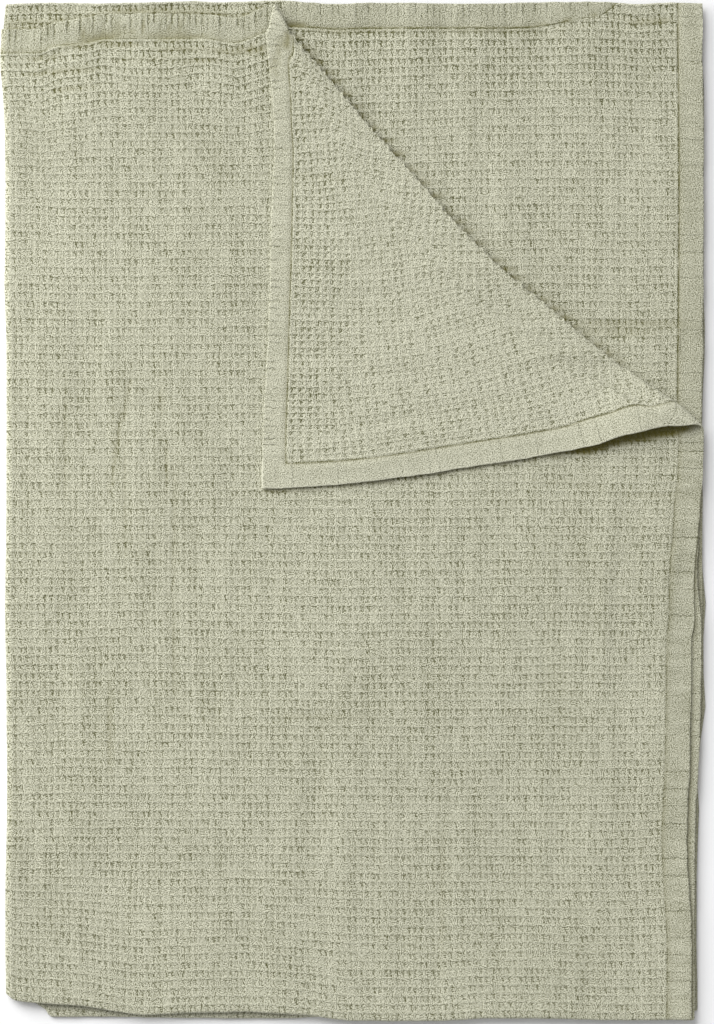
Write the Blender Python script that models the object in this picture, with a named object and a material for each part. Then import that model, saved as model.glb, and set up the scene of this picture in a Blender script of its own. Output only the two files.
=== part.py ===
"""Bedspread of washed waffle cloth, folded in four, with the corner of its top layer turned back.

One hemmed rectangle of cloth. It is folded in half across its length, which makes the bottom fold,
and then in half across its width with the left half going under, which makes the side fold. Seen
from above, the four layers have the side fold on the left and the bottom fold nearest the viewer.
The top right corner of the top layer is turned back towards the lower left.
Metres, +Z up, +X to the right and +Y away from the bottom fold.
"""

import math
from collections import namedtuple

import bmesh
import bpy

MM = 0.001

# The cloth, as it is cut and hemmed
CLOTH_WIDTH = 1783 * MM
CLOTH_LENGTH = 2606 * MM
CLOTH_THICKNESS = 2.2 * MM
HEM_WIDTH = 32 * MM
HEM_EXTRA = 0.5 * MM
HEM_STEP = 3 * MM

# The two folds, by the radius of the cloth's middle. The side fold goes round a pair of layers.
BOTTOM_FOLD = 1.9 * MM
SIDE_FOLD = 2 * BOTTOM_FOLD
BOTTOM_ARC = math.pi / 2 * BOTTOM_FOLD
SIDE_ARC = math.pi / 2 * SIDE_FOLD
MID_HEIGHT = SIDE_FOLD + BOTTOM_FOLD + CLOTH_THICKNESS / 2
PACK_HEIGHT = 2 * MID_HEIGHT
TOP_LAYER = MID_HEIGHT + SIDE_FOLD + BOTTOM_FOLD
RIGHT_EDGE = CLOTH_WIDTH / 2 - SIDE_ARC
FREE_EDGE = CLOTH_LENGTH / 2 - BOTTOM_ARC

# How fine the solid is: the largest cell across and along, on the side that shows and on the rest
SEEN_CELL = (36 * MM, 38 * MM)
HIDDEN_CELL = (90 * MM, 80 * MM)
SIDE_FOLD_STEPS = 6
BOTTOM_FOLD_STEPS = 4
ROLL_STEPS = 6

# Rows of a table: the place along a line, and how far the cloth is moved there. Both in mm.
Row = namedtuple("Row", "at by")

# The side fold bulges to the left, going up from the bottom fold
SIDE_FOLD_BULGE = [Row(0, -3.3), Row(149, -3.8), Row(252, -2.1), Row(406, -2.9), Row(509, -4.6),
                   Row(612, -2.9), Row(869, -2.9), Row(940, -4.5), Row(1126, -4.2), Row(1177, -6.7),
                   Row(1229, -10.8), Row(1272, -9.1), Row(1300, -7)]

# The bottom fold rises from a straight line, going right. The upper pair lies short on the left.
BOTTOM_RISE = {
    "upper": [Row(-6, 29.6), Row(4.5, 23), Row(31, 19.3), Row(85, 15.4), Row(134, 7.7), Row(166, 3.9),
              Row(228, 7), Row(291, 7.7), Row(373, 3.9), Row(435, -3.3), Row(535, -3.9), Row(612, 0),
              Row(690, 0), Row(775, -3.3), Row(871, -2.6)],
    "lower": [Row(-6, 29.6), Row(4.5, 23), Row(31, 19), Row(44, 10), Row(50, 1), Row(230, 0.5),
              Row(330, -0.5), Row(430, 3), Row(700, 5), Row(871, 9)],
}

# The free edges at the top move up, going right, by layer from the top one down
TOP_SHIFT = {
    1: [Row(0, -31.5), Row(40, -31.5), Row(60, -22.5), Row(98, -17.4), Row(118, -12.2), Row(246, -12.2),
        Row(285, -17.4), Row(317, -5.8), Row(332, 0)],
    2: [Row(0, 0.4), Row(21, 1.7), Row(111, 1.7), Row(227, 3.6), Row(265, 2.4), Row(343, 5.2),
        Row(381, 2.9), Row(420, 0.4), Row(458, 1.7), Row(612, 1.7), Row(728, 4.0), Row(767, 2.9),
        Row(805, 0.6), Row(844, 2.9), Row(870, 1.5)],
    3: [Row(0, -3.2), Row(120, -6), Row(870, -8)],
    4: [Row(0, -31.5), Row(60, -20), Row(200, -9), Row(870, -10)],
}

# The long hems on the right move right, going up from the bottom fold, by layer
RIGHT_SHIFT = {
    1: [Row(0, -14), Row(85, -13.5), Row(226, -20), Row(329, -16), Row(414, -14.8), Row(483, -14.3),
        Row(505, -11.3), Row(574, -10), Row(620, -5.8), Row(663, -3.2), Row(690, 0.6), Row(745, 1.9),
        Row(775, -0.6), Row(1300, -3.2)],
    2: [Row(0, -10), Row(226, -9.6), Row(329, -4.5), Row(414, -1), Row(505, -2), Row(574, -7),
        Row(663, -2), Row(760, -0.6), Row(880, 0.6), Row(1060, 1.9), Row(1300, 0)],
    3: [Row(0, -8), Row(329, -5), Row(414, -1), Row(540, 0), Row(760, -1), Row(1300, -3)],
    4: [Row(0, -6), Row(200, -7), Row(252, -3.5), Row(300, -6), Row(329, -5.8), Row(355, -2),
        Row(414, 5.5), Row(470, -1), Row(515, 5), Row(560, 3), Row(597, -2), Row(640, 1.3), Row(760, -0.6),
        Row(817, 1), Row(870, 4.8), Row(920, 2.2), Row(1000, 1.5), Row(1140, 2.6), Row(1300, -1)],
}

# How far in from an edge its movement is felt
SIDE_REACH = 150 * MM
END_REACH = 260 * MM
RIGHT_REACH = 320 * MM

# The turned corner: its crease runs from the free edge at the top to the long hem on the right
CREASE_TOP = (331 * MM, FREE_EDGE)
CREASE_RIGHT = (RIGHT_EDGE, 753 * MM)
# How far the bend's outline stands out from that straight line, going down it
CREASE_BOW = [Row(0, 3), Row(45, -9), Row(118, -13.5), Row(193, -20.6), Row(282, -25.3), Row(382, -31.4),
              Row(435, -31.6), Row(518, -24.8), Row(605, -18), Row(675, -9.4), Row(699, -3.2),
              Row(725, 3), Row(750, 6.5), Row(779, 5)]
# The bend's radius at the cloth's middle: tight, then an open roll at the long hem
ROLL_RADIUS = [Row(0, 1.9), Row(500, 2.0), Row(620, 2.2), Row(651, 2.6), Row(684, 4.8), Row(706, 6.2),
               Row(730, 7), Row(779, 5)]
# Where the flap lies: its pull across the crease, going down it, and along the crease, going in from it
FLAP_ACROSS = [Row(0, 0), Row(59, -3.9), Row(193, -32), Row(393, -64), Row(581, -36), Row(676, -15.5),
               Row(706, -7), Row(743, -4.5), Row(779, 0)]
FLAP_ALONG = [Row(0, 0), Row(20, -2), Row(30, -8), Row(57, 0), Row(75, 5), Row(97, 13), Row(193, 26),
              Row(289, 35), Row(387, 36)]
FLAP_EASE = 18 * MM
# The cell lines are drawn to the bend over this distance, with the bend between two of them
ROLL_BAND = 12 * MM
DRAW_REACH = 120 * MM
DRAW_FADE = 60 * MM

# Soft mounds and hollows of the pack, in mm
Mound = namedtuple("Mound", "across up half_width half_length height")
MOUNDS = [
    Mound(120, 1180, 90, 70, 2.5),
    Mound(200, 820, 120, 160, 2.0),
    Mound(90, 520, 60, 120, -1.5),
    Mound(430, 420, 160, 200, 3.0),
    Mound(150, 190, 90, 70, -2.0),
    Mound(650, 200, 160, 120, -1.5),
    Mound(760, 560, 90, 110, 2.5),
    Mound(640, 1120, 110, 70, -1.5),
    Mound(560, 960, 100, 120, 2.0),
]

# Finish
SAGE_GREEN = (0.468, 0.462, 0.347, 1.0)
CLOTH_ROUGHNESS = 0.95


def clear_scene():
    for item in list(bpy.data.objects):
        bpy.data.objects.remove(item, do_unlink=True)


def row_slope(rows, i):
    """Slope of the smooth line at a row: level at the ends and wherever the line turns."""
    if i == 0 or i == len(rows) - 1:
        return 0.0
    before = (rows[i].by - rows[i - 1].by) / (rows[i].at - rows[i - 1].at)
    after = (rows[i + 1].by - rows[i].by) / (rows[i + 1].at - rows[i].at)
    if before * after <= 0:
        return 0.0
    return 2 * before * after / (before + after)


def along(rows, place):
    """Value of a table at a place, on a smooth line through its rows. Metres in and out."""
    at = place / MM
    if at <= rows[0].at:
        return rows[0].by * MM
    if at >= rows[-1].at:
        return rows[-1].by * MM
    i = max(k for k, row in enumerate(rows) if row.at <= at)
    span = rows[i + 1].at - rows[i].at
    f = (at - rows[i].at) / span
    start = rows[i].by * (2 * f ** 3 - 3 * f ** 2 + 1) + row_slope(rows, i) * span * f * (1 - f) ** 2
    end = rows[i + 1].by * (3 * f ** 2 - 2 * f ** 3) - row_slope(rows, i + 1) * span * f * f * (1 - f)
    return (start + end) * MM


def ease(value):
    value = min(max(value, 0.0), 1.0)
    return value * value * (3 - 2 * value)


def mix(a, b, share):
    return a + (b - a) * share


CREASE_LENGTH = math.dist(CREASE_TOP, CREASE_RIGHT)
DOWN = ((CREASE_RIGHT[0] - CREASE_TOP[0]) / CREASE_LENGTH, (CREASE_RIGHT[1] - CREASE_TOP[1]) / CREASE_LENGTH)
OUT = (-DOWN[1], DOWN[0])


def to_crease(x, y):
    """Distance down the crease's straight line, and out from it towards the turned corner."""
    dx, dy = x - CREASE_TOP[0], y - CREASE_TOP[1]
    return dx * DOWN[0] + dy * DOWN[1], dx * OUT[0] + dy * OUT[1]


def from_crease(down, out):
    return (CREASE_TOP[0] + down * DOWN[0] + out * OUT[0], CREASE_TOP[1] + down * DOWN[1] + out * OUT[1])


def roll_start(down):
    """Where the top layer begins to rise into the bend, out from the crease's straight line."""
    return along(CREASE_BOW, down) - along(ROLL_RADIUS, down) - CLOTH_THICKNESS / 2


def draw_to_bend(across, up):
    """Slide a point of the flat cell pattern so that the pattern's lines follow the bend."""
    down, out = to_crease(across, up)
    if abs(out) >= DRAW_REACH:
        return across, up
    start = roll_start(down)
    end = start + math.pi * along(ROLL_RADIUS, down)
    if out < 0:
        wanted = start + (out / DRAW_REACH) * (DRAW_REACH + start)
    elif out < ROLL_BAND:
        wanted = mix(start, end, out / ROLL_BAND)
    else:
        wanted = mix(end, DRAW_REACH, (out - ROLL_BAND) / (DRAW_REACH - ROLL_BAND))
    past_end = max(-down, down - CREASE_LENGTH, 0.0)
    slide = (wanted - out) * ease(1 - past_end / DRAW_FADE)
    share = min(max(down / CREASE_LENGTH, 0.0), 1.0)
    return across + slide * (1 - share) / OUT[0], up + slide * share / OUT[1]


def edge_shift(x, y, upper, share):
    """Movement in the plane from the uneven edges. share is 1 on the outer layer of a pair."""
    pair = "upper" if upper else "lower"
    outer, inner = (1, 2) if upper else (4, 3)
    top = mix(along(TOP_SHIFT[inner], x), along(TOP_SHIFT[outer], x), share)
    move_y = along(BOTTOM_RISE[pair], x) * ease(1 - y / END_REACH)
    move_y += top * ease((y - FREE_EDGE + END_REACH) / END_REACH)
    right = mix(along(RIGHT_SHIFT[inner], y + move_y), along(RIGHT_SHIFT[outer], y + move_y), share)
    move_x = along(SIDE_FOLD_BULGE, y + move_y) * ease(1 - x / SIDE_REACH)
    move_x += right * ease((x - RIGHT_EDGE + RIGHT_REACH) / RIGHT_REACH)
    return move_x, move_y


def turn_back(x, y, skin):
    """Fold the top layer's corner over. skin is the distance from the cloth's middle to this face."""
    down, out = to_crease(x, y)
    start = roll_start(down)
    past = out - start
    if down < 0 or past <= 0:
        return x, y, TOP_LAYER + skin
    radius = along(ROLL_RADIUS, down)
    pull = along(FLAP_ALONG, out)
    near = 2 * start + math.pi * radius
    lean = (along(FLAP_ACROSS, down) - near) * ease(past / (math.pi * radius + FLAP_EASE))
    if past < math.pi * radius:
        turn = past / radius
        x, y = from_crease(down + pull, start + (radius - skin) * math.sin(turn) + lean)
        return x, y, TOP_LAYER + radius - (radius - skin) * math.cos(turn)
    x, y = from_crease(down + pull, near - out + lean)
    return x, y, TOP_LAYER + 2 * radius - skin


def unevenness(x, y):
    total = 0.0
    for m in MOUNDS:
        far = ((x / MM - m.across) / m.half_width) ** 2 + ((y / MM - m.up) / m.half_length) ** 2
        total += m.height * MM * math.exp(-far)
    return total


def fold(across, up, skin):
    """Place of a point of the flat cloth in the folded pack."""
    if abs(up) > BOTTOM_ARC:
        y = abs(up) - BOTTOM_ARC
        level = math.copysign(BOTTOM_FOLD + skin, up)
    else:
        y = -(BOTTOM_FOLD + skin) * math.cos(up / BOTTOM_FOLD)
        level = (BOTTOM_FOLD + skin) * math.sin(up / BOTTOM_FOLD)
    if abs(across) > SIDE_ARC:
        x = abs(across) - SIDE_ARC
        z = MID_HEIGHT + math.copysign(SIDE_FOLD + level, across)
    else:
        x = -(SIDE_FOLD + level) * math.cos(across / SIDE_FOLD)
        z = MID_HEIGHT + (SIDE_FOLD + level) * math.sin(across / SIDE_FOLD)
    share = min(max((level / BOTTOM_FOLD + 1) / 2, 0.0), 1.0)
    move_x, move_y = edge_shift(x, y, across > 0, share)
    x, y = x + move_x, y + move_y
    if across > SIDE_ARC and up > BOTTOM_ARC:
        x, y, z = turn_back(x, y, skin)
    return x, y, z + unevenness(x, y) * min(z / PACK_HEIGHT, 1.0)


def hem_share(across, up):
    """1 in the turned hem round the edge of the cloth, 0 inside it."""
    inset = min(CLOTH_WIDTH / 2 - abs(across), CLOTH_LENGTH / 2 - abs(up))
    return min(max((HEM_WIDTH + HEM_STEP - inset) / HEM_STEP, 0.0), 1.0)


def even_lines(start, end, cell):
    steps = max(1, math.ceil(abs(end - start) / cell))
    return [start + (end - start) * k / steps for k in range(steps + 1)]


def cell_lines(half, arc, steps, seen, hidden):
    """Cell lines across one direction of the cloth: both hems, both flats and the fold between."""
    hem = half - HEM_WIDTH
    inner = hem - HEM_STEP
    lines = [arc * (2 * k / steps - 1) for k in range(steps + 1)]
    lines += even_lines(arc, inner, seen) + [hem]
    lines += even_lines(-arc, -inner, hidden) + [-hem]
    return sorted(set(lines))


def cut(sheet, place, normal, keep=None):
    faces = [face for face in sheet.faces if keep is None or keep(face.calc_center_median())]
    edges = {edge for face in faces for edge in face.edges}
    verts = {vert for face in faces for vert in face.verts}
    bmesh.ops.bisect_plane(sheet, geom=[*verts, *edges, *faces], dist=1e-6, plane_co=place, plane_no=normal)


def flat_sheet():
    """The cloth laid flat, cut into cells, with cell lines along its folds."""
    sheet = bmesh.new()
    half_x, half_y = CLOTH_WIDTH / 2, CLOTH_LENGTH / 2
    corners = [(-half_x, -half_y), (half_x, -half_y), (half_x, half_y), (-half_x, half_y)]
    sheet.faces.new([sheet.verts.new((x, y, 0)) for x, y in corners])
    for x in cell_lines(half_x, SIDE_ARC, SIDE_FOLD_STEPS, SEEN_CELL[0], HIDDEN_CELL[0]):
        cut(sheet, (x, 0, 0), (1, 0, 0))
    for y in cell_lines(half_y, BOTTOM_ARC, BOTTOM_FOLD_STEPS, SEEN_CELL[1], HIDDEN_CELL[1]):
        cut(sheet, (0, y, 0), (0, 1, 0))
    for k in range(ROLL_STEPS + 1):
        x, y = from_crease(0, ROLL_BAND * k / ROLL_STEPS)
        cut(sheet, (x + SIDE_ARC, y + BOTTOM_ARC, 0), (*OUT, 0), lambda middle: middle.x > 0 and middle.y > 0)
    for vert in sheet.verts:
        if vert.co.x > SIDE_ARC and vert.co.y > BOTTOM_ARC:
            x, y = draw_to_bend(vert.co.x - SIDE_ARC, vert.co.y - BOTTOM_ARC)
            vert.co.x, vert.co.y = x + SIDE_ARC, y + BOTTOM_ARC
    return sheet


def folded_solid(sheet):
    """Fold both faces of the cloth from the flat cells, and close its edge."""
    solid = bmesh.new()
    face_side, reverse = {}, {}
    for vert in sheet.verts:
        across, up = vert.co.x, vert.co.y
        inner = -CLOTH_THICKNESS / 2 - HEM_EXTRA * hem_share(across, up)
        face_side[vert] = solid.verts.new(fold(across, up, CLOTH_THICKNESS / 2))
        reverse[vert] = solid.verts.new(fold(across, up, inner))
    for cell in sheet.faces:
        solid.faces.new([face_side[vert] for vert in cell.verts])
        solid.faces.new([reverse[vert] for vert in reversed(cell.verts)])
    for edge in sheet.edges:
        if edge.is_boundary:
            loop = edge.link_loops[0]
            a, b = loop.vert, loop.link_loop_next.vert
            solid.faces.new([face_side[b], face_side[a], reverse[a], reverse[b]])
    return solid


def centre_on_rest(solid):
    """Put the middle of the pack's outline over the origin. Its underside already lies at zero."""
    for axis in (0, 1):
        values = [vert.co[axis] for vert in solid.verts]
        middle = (min(values) + max(values)) / 2
        for vert in solid.verts:
            vert.co[axis] -= middle


def cloth_material():
    material = bpy.data.materials.new("washed_cotton")
    material.use_nodes = True
    shader = material.node_tree.nodes["Principled BSDF"]
    shader.inputs["Base Color"].default_value = SAGE_GREEN
    shader.inputs["Roughness"].default_value = CLOTH_ROUGHNESS
    shader.inputs["Metallic"].default_value = 0.0
    return material


def make_bedspread():
    sheet = flat_sheet()
    solid = folded_solid(sheet)
    sheet.free()
    centre_on_rest(solid)
    mesh = bpy.data.meshes.new("bedspread")
    solid.to_mesh(mesh)
    solid.free()
    mesh.shade_smooth()
    mesh.set_sharp_from_angle(angle=math.radians(50))
    mesh.materials.append(cloth_material())
    bedspread = bpy.data.objects.new("bedspread", mesh)
    bpy.context.collection.objects.link(bedspread)
    return bedspread


clear_scene()
make_bedspread()
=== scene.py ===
"""Looks of the folded bedspread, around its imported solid.

The washed waffle cloth is folded from flat the same way as the solid, in small cells, with its weave,
hems and creases, and its hem sewing lies on it. Metres, +Z up, +Y away from the bottom fold.
"""

import math
from collections import namedtuple

import bmesh
import bpy
import numpy as np
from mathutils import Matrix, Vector


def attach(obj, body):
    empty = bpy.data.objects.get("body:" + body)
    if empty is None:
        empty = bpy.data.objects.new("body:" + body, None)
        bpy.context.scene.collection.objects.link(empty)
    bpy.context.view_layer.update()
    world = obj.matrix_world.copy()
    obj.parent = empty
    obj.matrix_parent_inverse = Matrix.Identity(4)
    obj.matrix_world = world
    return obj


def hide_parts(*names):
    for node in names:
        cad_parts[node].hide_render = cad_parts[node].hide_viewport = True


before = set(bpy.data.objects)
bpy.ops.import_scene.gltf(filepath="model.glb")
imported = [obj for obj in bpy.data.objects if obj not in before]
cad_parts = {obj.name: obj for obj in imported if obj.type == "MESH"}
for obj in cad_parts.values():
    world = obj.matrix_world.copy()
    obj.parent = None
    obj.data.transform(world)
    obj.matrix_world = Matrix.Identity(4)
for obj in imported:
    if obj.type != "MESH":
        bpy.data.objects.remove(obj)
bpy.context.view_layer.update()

MM = 0.001

# The cloth, as it is cut and hemmed
CLOTH_WIDTH = 1783 * MM
CLOTH_LENGTH = 2606 * MM
CLOTH_THICKNESS = 2.2 * MM
HEM_WIDTH = 32 * MM
HEM_EXTRA = 0.5 * MM
HEM_STEP = 3 * MM
STITCH_LINE = 31 * MM
HALF_WIDTH = CLOTH_WIDTH / 2
HALF_LENGTH = CLOTH_LENGTH / 2

# The waffle cells between the hems, counted from the middle of the cloth
CELLS_ACROSS = 112
CELLS_ALONG = 114
CELL_ACROSS = (HALF_WIDTH - HEM_WIDTH - HEM_STEP) / CELLS_ACROSS
CELL_ALONG = (HALF_LENGTH - HEM_WIDTH - HEM_STEP) / CELLS_ALONG
WAFFLE_DEPTH = 0.75 * MM
HEM_SUNK = 0.18 * MM
POST_DEPTH = 0.35

# The two folds, by the radius of the cloth's middle. The side fold goes round a pair of layers.
BOTTOM_FOLD = 1.9 * MM
SIDE_FOLD = 2 * BOTTOM_FOLD
BOTTOM_ARC = math.pi / 2 * BOTTOM_FOLD
SIDE_ARC = math.pi / 2 * SIDE_FOLD
MID_HEIGHT = SIDE_FOLD + BOTTOM_FOLD + CLOTH_THICKNESS / 2
PACK_HEIGHT = 2 * MID_HEIGHT
TOP_LAYER = MID_HEIGHT + SIDE_FOLD + BOTTOM_FOLD
RIGHT_EDGE = HALF_WIDTH - SIDE_ARC
FREE_EDGE = HALF_LENGTH - BOTTOM_ARC

# Mesh lines: this many to a cell across and along, and the cells of a block
LINES_ACROSS = 2
LINES_ALONG = 2
BLOCK_CELLS = 4
SIDE_ARC_STEPS = 4
BOTTOM_ARC_STEPS = 3
TURN_STEPS = 8
# Lines in the hem, by the distance in from the cloth's edge, in mm. Blocks end at the second list.
HEM_LINES = (32.4, 31, 29.6, 24, 17, 10, 4, 1.8, 0.5, 0)
HEM_BLOCKS = (31, 1.8, 0)
ROUND_EDGE = 1.8 * MM

# The hem sewing
THREAD = 0.7 * MM
STITCH_LENGTH = 3.0 * MM
STITCH_PITCH = 3.7 * MM
STITCH_RISE = 0.2 * THREAD
# Each stitch is cut at these shares of its length, and its tips are thinner and dip into the cloth
STITCH_CUTS = (-0.28, 0.28)
STITCH_TIP = 0.4
TIP_THICKNESS = 0.6
TIP_DIP = 0.7 * THREAD
# A rolled hem's sewing shows up to here from the edge
SEAM_FROM_EDGE = 6 * MM
# The groove that the sewing pulls in, and its depth on each face
GROOVE_WIDTH = 1.4 * MM
GROOVE_FACE = 0.1 * MM
GROOVE_BACK = 0.6 * MM

# A table's pairs are a place along a line, and how far the cloth is moved there. Both in mm.

# The side fold bulges to the left, going up from the bottom fold
SIDE_FOLD_BULGE = [(0, -3.3), (149, -3.8), (252, -2.1), (406, -2.9), (509, -4.6),
                   (612, -2.9), (869, -2.9), (940, -4.5), (1126, -4.2), (1177, -6.7),
                   (1229, -10.8), (1272, -9.1), (1300, -7)]

# The bottom fold rises from a straight line, going right. The upper pair lies short on the left.
BOTTOM_RISE = {
    "upper": [(-6, 29.6), (4.5, 23), (31, 19.3), (85, 15.4), (134, 7.7), (166, 3.9),
              (228, 7), (291, 7.7), (373, 3.9), (435, -3.3), (535, -3.9), (612, 0),
              (690, 0), (775, -3.3), (871, -2.6)],
    "lower": [(-6, 29.6), (4.5, 23), (31, 19), (44, 10), (50, 1), (230, 0.5),
              (330, -0.5), (430, 3), (700, 5), (871, 9)],
}

# The free edges at the top move up, going right, by layer from the top one down
TOP_SHIFT = {
    1: [(0, -31.5), (40, -31.5), (60, -22.5), (98, -17.4), (118, -12.2), (246, -12.2),
        (285, -17.4), (317, -5.8), (332, 0)],
    2: [(0, 0.4), (21, 1.7), (111, 1.7), (227, 3.6), (265, 2.4), (343, 5.2),
        (381, 2.9), (420, 0.4), (458, 1.7), (612, 1.7), (728, 4.0), (767, 2.9),
        (805, 0.6), (844, 2.9), (870, 1.5)],
    3: [(0, -3.2), (120, -6), (870, -8)],
    4: [(0, -31.5), (60, -20), (200, -9), (870, -10)],
}

# The long hems on the right move right, going up from the bottom fold, by layer
RIGHT_SHIFT = {
    1: [(0, -14), (85, -13.5), (226, -20), (329, -16), (414, -14.8), (483, -14.3),
        (505, -11.3), (574, -10), (620, -5.8), (663, -3.2), (690, 0.6), (745, 1.9),
        (775, -0.6), (1300, -3.2)],
    2: [(0, -10), (226, -9.6), (329, -4.5), (414, -1), (505, -2), (574, -7),
        (663, -2), (760, -0.6), (880, 0.6), (1060, 1.9), (1300, 0)],
    3: [(0, -8), (329, -5), (414, -1), (540, 0), (760, -1), (1300, -3)],
    4: [(0, -6), (200, -7), (252, -3.5), (300, -6), (329, -5.8), (355, -2),
        (414, 5.5), (470, -1), (515, 5), (560, 3), (597, -2), (640, 1.3), (760, -0.6),
        (817, 1), (870, 4.8), (920, 2.2), (1000, 1.5), (1140, 2.6), (1300, -1)],
}

# How far in from an edge its movement is felt
SIDE_REACH = 150 * MM
END_REACH = 260 * MM
RIGHT_REACH = 320 * MM

# The turned corner: its crease runs from the free edge at the top to the long hem on the right
CREASE_TOP = (331 * MM, FREE_EDGE)
CREASE_RIGHT = (RIGHT_EDGE, 753 * MM)
# How far the bend's outline stands out from that straight line, going down it
CREASE_BOW = [(0, 3), (45, -9), (118, -13.5), (193, -20.6), (282, -25.3), (382, -31.4),
              (435, -31.6), (518, -24.8), (605, -18), (675, -9.4), (699, -3.2),
              (725, 3), (750, 6.5), (779, 5)]
# The bend's radius at the cloth's middle: tight, then an open roll at the long hem
ROLL_RADIUS = [(0, 1.9), (500, 2.0), (620, 2.2), (651, 2.6), (684, 4.8), (706, 6.2),
               (730, 7), (779, 5)]
# Where the flap lies: its pull across the crease, going down it, and along the crease, going in from it
FLAP_ACROSS = [(0, 0), (59, -3.9), (193, -32), (393, -64), (581, -36), (676, -15.5),
               (706, -7), (743, -4.5), (779, 0)]
FLAP_ALONG = [(0, 0), (20, -2), (30, -8), (57, 0), (75, 5), (97, 13), (193, 26),
              (289, 35), (387, 36)]
FLAP_EASE = [(0, 18), (150, 45), (380, 80), (560, 45), (680, 18), (779, 18)]
# Notches in the bend's outline, where rows of the waffle cross it: their places down the crease, in mm
NOTCHES = (50, 65, 80, 92, 112, 127, 146, 166, 185, 205, 226, 247, 275, 297, 322, 348, 366, 384, 403, 435,
           452, 468, 492, 516, 534, 552, 570, 588, 606, 624, 642)
NOTCH_DEPTH = 5.4 * MM
NOTCH_WIDTH = 5.5 * MM

# Soft mounds and hollows of the pack, in mm
Mound = namedtuple("Mound", "across up half_width half_length height")
MOUNDS = [
    Mound(120, 1180, 90, 70, 2.5),
    Mound(200, 820, 120, 160, 2.0),
    Mound(90, 520, 60, 120, -1.5),
    Mound(430, 420, 160, 200, 3.0),
    Mound(150, 190, 90, 70, -2.0),
    Mound(650, 200, 160, 120, -1.5),
    Mound(760, 560, 90, 110, 2.5),
    Mound(640, 1120, 110, 70, -1.5),
    Mound(560, 960, 100, 120, 2.0),
]

# Where the second layer's top hem is rolled to its far side, going right, in mm
SECOND_HEM_ROLLED = [(345, 40), (352, 0), (660, 0), (722, 9), (757, 17), (790, 40)]

# The weave wanders over the cloth. Noise by the size of its bumps both ways and their height, in mm.
Wander = namedtuple("Wander", "across up height seed")
ROW_WANDER = [Wander(260, 330, 2.6, 1), Wander(70, 120, 1.1, 2), Wander(30, 60, 0.55, 3),
              Wander(13, 34, 0.4, 4)]
COLUMN_WANDER = [Wander(210, 300, 1.6, 5), Wander(60, 110, 0.6, 6), Wander(30, 28, 0.3, 7)]
SURFACE_WAVES = [Wander(11, 75, 0.22, 8), Wander(19, 130, 0.38, 9), Wander(42, 210, 0.6, 10),
                 Wander(60, 26, 0.2, 11), Wander(90, 120, 0.6, 12)]
HEM_PUCKERS = [Wander(8.5, 60, 0.16, 13), Wander(15, 40, 0.3, 14), Wander(34, 30, 0.45, 15)]
HEM_WAVES = [Wander(9, 90, 0.4, 20), Wander(14, 90, 0.5, 16), Wander(37, 90, 0.8, 17)]
WANDER_FADE = 60 * MM
FLAP_WANDER = 0.35
WAVE_LIMIT = 0.8 * MM

# Places where the weave of the top layer is pulled out of line, in mm
Pull = namedtuple("Pull", "across up half_width half_length by_across by_up")
PULLS = [
    Pull(20, 1165, 42, 75, 0, -12),
    Pull(105, 1222, 38, 26, 0, 5),
    Pull(185, 1230, 46, 22, 0, -4),
    Pull(262, 1228, 40, 26, 0, 4.5),
    Pull(55, 1205, 30, 18, 0, 4),
]

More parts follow.
